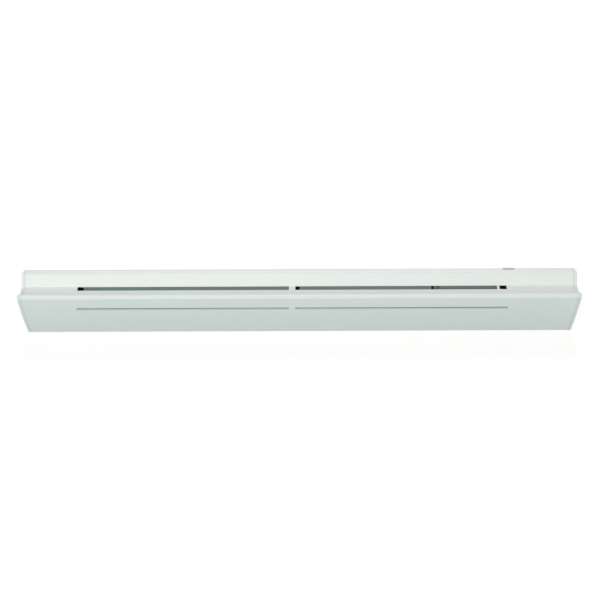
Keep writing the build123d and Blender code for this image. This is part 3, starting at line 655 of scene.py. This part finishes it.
def set_screw():
    """The slotted brass screw, knurled round its head, that sets the ribbons' pull."""
    low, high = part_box("calibration_screw")
    length, radius = high[0] - low[0], (high[2] - low[2]) / 2

    def knurl(angle):
        return radius - KNURL_DEPTH * (0.5 + 0.5 * cos(KNURL_COUNT * angle))

    rings, neck = screw_rings(length, SET_SCREW, knurl)
    head = SET_SCREW["head"]
    rings.append((neck + KNURL_TOP_SHARE * head, knurl))
    rings.append((neck + head, lambda angle: radius * KNURL_CHAMFER_SHARE))
    screw = turned_mesh("set_screw", rings, steps=KNURL_STEPS * KNURL_COUNT)
    slot_bar = bar_mesh("blade", 3 * radius, SLOT_WIDTH, SLOT_DEPTH, taper=1.0, top=length)
    screw = carved_mesh(screw, slot_bar)
    tip = Vector((low[0], (low[1] + high[1]) / 2, (low[2] + high[2]) / 2))
    stand_along(screw, Vector((1, 0, 0)), tip)
    piece = add_piece("set_screw", screw, screw_brass, "brass", "calibration_screw")
    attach(piece, "housing")


def foam_lump(place):
    """How far the foam's skin lies in from its full size at a place."""
    return FOAM_UNEVENNESS * (0.5 + 0.5 * noise.noise(Vector(place) / FOAM_LUMP_SIZE))


def gasket_ring():
    """The soft foam ring in the back of the base plate, with rounded edges."""
    low, high = (Vector(corner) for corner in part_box("rear_gasket"))
    half_width = GASKET_WIDTH / 2
    half_depth = (high.y - low.y) / 2
    left, right = low.x + half_width, high.x - half_width
    bottom, top = low.z + half_width, high.z - half_width
    corners = [(left, bottom), (right, bottom), (right, top), (left, top)]
    outward = [(0, -1), (1, 0), (0, 1), (-1, 0)]
    sections = []
    for number, (x, z) in enumerate(corners):
        next_x, next_z = corners[(number + 1) % len(corners)]
        before, after = outward[number - 1], outward[number]
        count = int(max(abs(next_x - x), abs(next_z - z)) / GASKET_STEP)
        for step in range(count):
            share = step / count
            side = (before[0] + after[0], before[1] + after[1]) if step == 0 else after
            place = (x + (next_x - x) * share, z + (next_z - z) * share)
            section = []
            for corner in range(FOAM_SECTION_SIDES):
                angle = tau * corner / FOAM_SECTION_SIDES
                out = half_width * squared(cos(angle), GASKET_WIDTH_POWER)
                deep = half_depth * squared(sin(angle), GASKET_DEPTH_POWER)
                point = Vector((place[0] + side[0] * out, 0, place[1] + side[1] * out))
                lump = foam_lump(point + Vector((0, deep, 0)))
                point.y = (low.y + high.y) / 2 + deep - copysign(lump, deep)
                section.append(tuple(point))
            sections.append(section)
    ring = joined_mesh("gasket", [skinned_mesh("gasket_ring", sections, ring=True)])
    gasket = add_piece("gasket", ring, gasket_foam, "gasket_foam", "rear_gasket", smooth=60)
    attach(gasket, "housing")


def foam_pad():
    """The foam pad behind the tray, with its cut edges softened."""
    shape = bmesh.new()
    shape.from_mesh(nodes["insulation_pad"].data)
    bmesh.ops.remove_doubles(shape, verts=shape.verts, dist=WELD_DISTANCE)
    bmesh.ops.dissolve_limit(
        shape, angle_limit=radians(1), verts=shape.verts, edges=shape.edges
    )
    bmesh.ops.bevel(
        shape, geom=shape.edges[:], offset=PAD_EDGE, segments=3, profile=0.5, affect="EDGES"
    )
    mesh = bpy.data.meshes.new("pad")
    shape.to_mesh(mesh)
    shape.free()
    pad = add_piece("pad", mesh, pad_foam, "foam", "insulation_pad", smooth=40)
    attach(pad, "housing")


humidity_ribbons()
tension_spring()
tray_screws()
set_screw()
gasket_ring()
foam_pad()


def seen_directly(tree):
    """One for a ray that the camera sends, straight, by a reflection or through glass."""
    path = add_node(tree, "ShaderNodeLightPath")
    total = path.outputs["Is Camera Ray"]
    for kind in ("Is Glossy Ray", "Is Transmission Ray"):
        added = add_node(tree, "ShaderNodeMath", operation="MAXIMUM")
        tree.links.new(total, added.inputs[0])
        tree.links.new(path.outputs[kind], added.inputs[1])
        total = added.outputs["Value"]
    return total


def stage_floor():
    """A plain pale floor under the inlet, which shows white round its shadow."""
    mesh = bpy.data.meshes.new("floor")
    half = FLOOR_SIZE / 2
    level = cad_box[0].z - FLOOR_GAP
    corners = [(-half, -half, level), (half, -half, level), (half, half, level), (-half, half, level)]
    mesh.from_pydata(corners, [], [(0, 1, 2, 3)])
    floor = bpy.data.objects.new("floor", mesh)
    scene.collection.objects.link(floor)
    material, tree, shader = new_material("FloorPaper")
    shader.inputs["Base Color"].default_value = FLOOR_COLOUR
    shader.inputs["Roughness"].default_value = 0.9
    shader.inputs["Specular IOR Level"].default_value = 0.0
    shader.inputs["Emission Color"].default_value = FLOOR_GLOW
    lift = remap(tree, seen_directly(tree), 0, FLOOR_LIFT)
    tree.links.new(lift, shader.inputs["Emission Strength"])
    mesh.materials.append(material)


def soft_lamp(name, position, power, colour):
    """A large square area lamp that faces the inlet."""
    light = bpy.data.lights.new(name, "AREA")
    light.shape = "SQUARE"
    light.size = LAMP_SIZE
    light.energy = power
    light.color = colour
    lamp = bpy.data.objects.new(name, light)
    lamp.location = position
    lamp.rotation_mode = "QUATERNION"
    lamp.rotation_quaternion = (-lamp.location).to_track_quat("-Z", "Y")
    scene.collection.objects.link(lamp)


def studio_light():
    """A dim sky, a white backdrop, and a soft lamp in front and behind."""
    world = bpy.data.worlds.new("Studio")
    scene.world = world
    world.use_nodes = True
    tree = world.node_tree
    background = tree.nodes["Background"]
    seen = seen_directly(tree)
    colour = mix_colour(tree, seen, SKY_COLOUR, (1, 1, 1))
    tree.links.new(colour, background.inputs["Color"])
    strength = remap(tree, seen, SKY_STRENGTH, BACKDROP_STRENGTH)
    tree.links.new(strength, background.inputs["Strength"])
    soft_lamp("front_lamp", *FRONT_LAMP)
    soft_lamp("rear_lamp", *REAR_LAMP)


def photo_camera():
    """The camera of the photograph, aimed so that the nose falls on its pixel."""
    data = bpy.data.cameras.new("camera")
    data.sensor_width = SENSOR_WIDTH
    data.lens = FOCAL_PIXELS / IMAGE_SIZE * SENSOR_WIDTH
    data.clip_start = 0.01
    camera = bpy.data.objects.new("camera", data)
    back = Vector((0, -cos(CAMERA_ELEVATION), sin(CAMERA_ELEVATION)))
    camera.location = NOSE_POINT + back * CAMERA_DISTANCE
    camera.rotation_mode = "QUATERNION"
    aim = (-back).to_track_quat("-Z", "Y")
    roll = Matrix.Rotation(CAMERA_ROLL, 3, "Z").to_quaternion()
    camera.rotation_quaternion = aim @ roll
    data.shift_x = (IMAGE_SIZE / 2 - NOSE_PIXEL[0]) / IMAGE_SIZE
    data.shift_y = (NOSE_PIXEL[1] - IMAGE_SIZE / 2) / IMAGE_SIZE
    scene.collection.objects.link(camera)
    scene.camera = camera


stage_floor()
studio_light()
photo_camera()
scene.view_settings.view_transform = "Standard"
